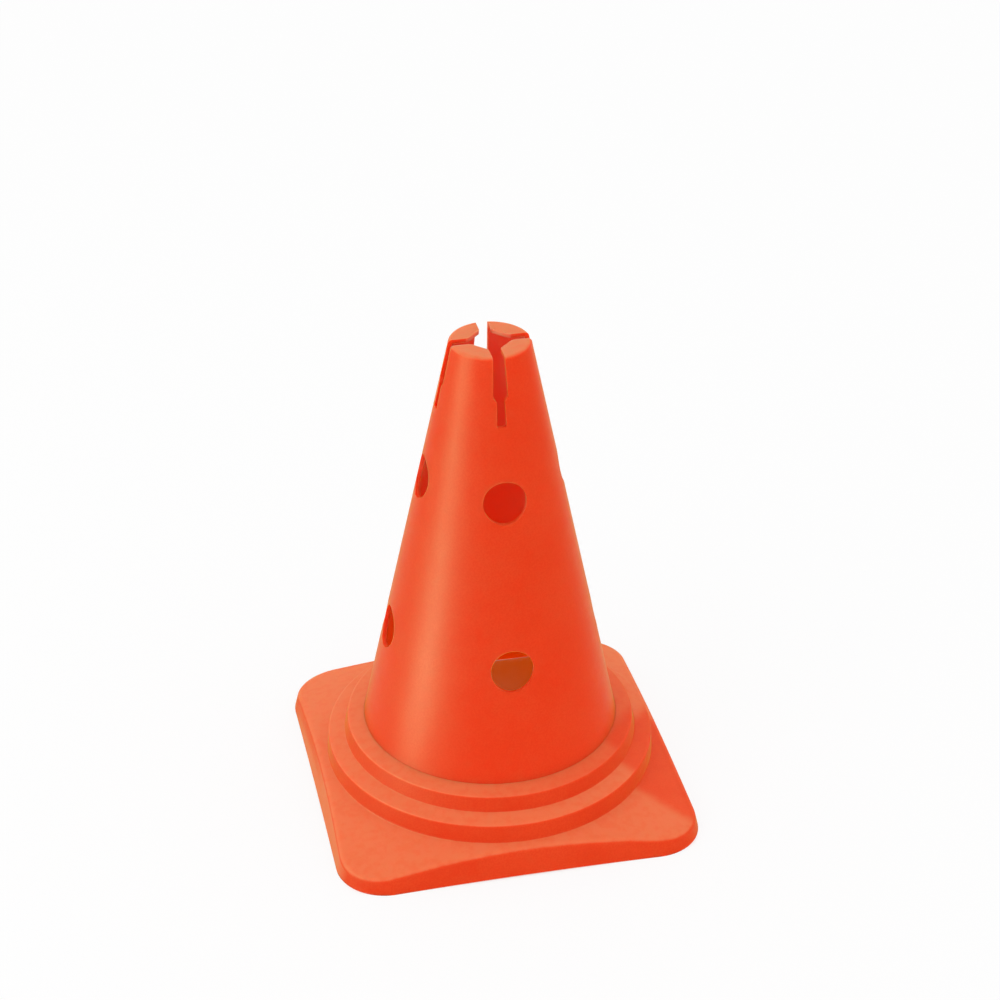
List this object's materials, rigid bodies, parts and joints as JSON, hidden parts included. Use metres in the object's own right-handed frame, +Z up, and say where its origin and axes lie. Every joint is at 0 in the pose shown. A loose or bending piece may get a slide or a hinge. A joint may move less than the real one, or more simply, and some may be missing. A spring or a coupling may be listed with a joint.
{
  "type": "sports marker cone",
  "caption": "Hollow plastic marker cone with a slotted spring head and pole holes through its sides, snapped into a stepped square base that stands flat on the floor.",
  "frame": {"origin": "centre of the square base on the floor", "axes": "+Z up along the cone's axis, +X and +Y square to the base's sides, -Y is the side that faces the viewer in the picture"},
  "size_m": [0.222, 0.222, 0.3],
  "materials": {
    "cone_plastic": "satin moulded, orange red",
    "base_plastic": "fine grained moulded, orange red"
  },
  "bodies": {
    "root": {"cone_body": "cone_plastic", "square_base": "base_plastic"}
  },
  "joints": []
}
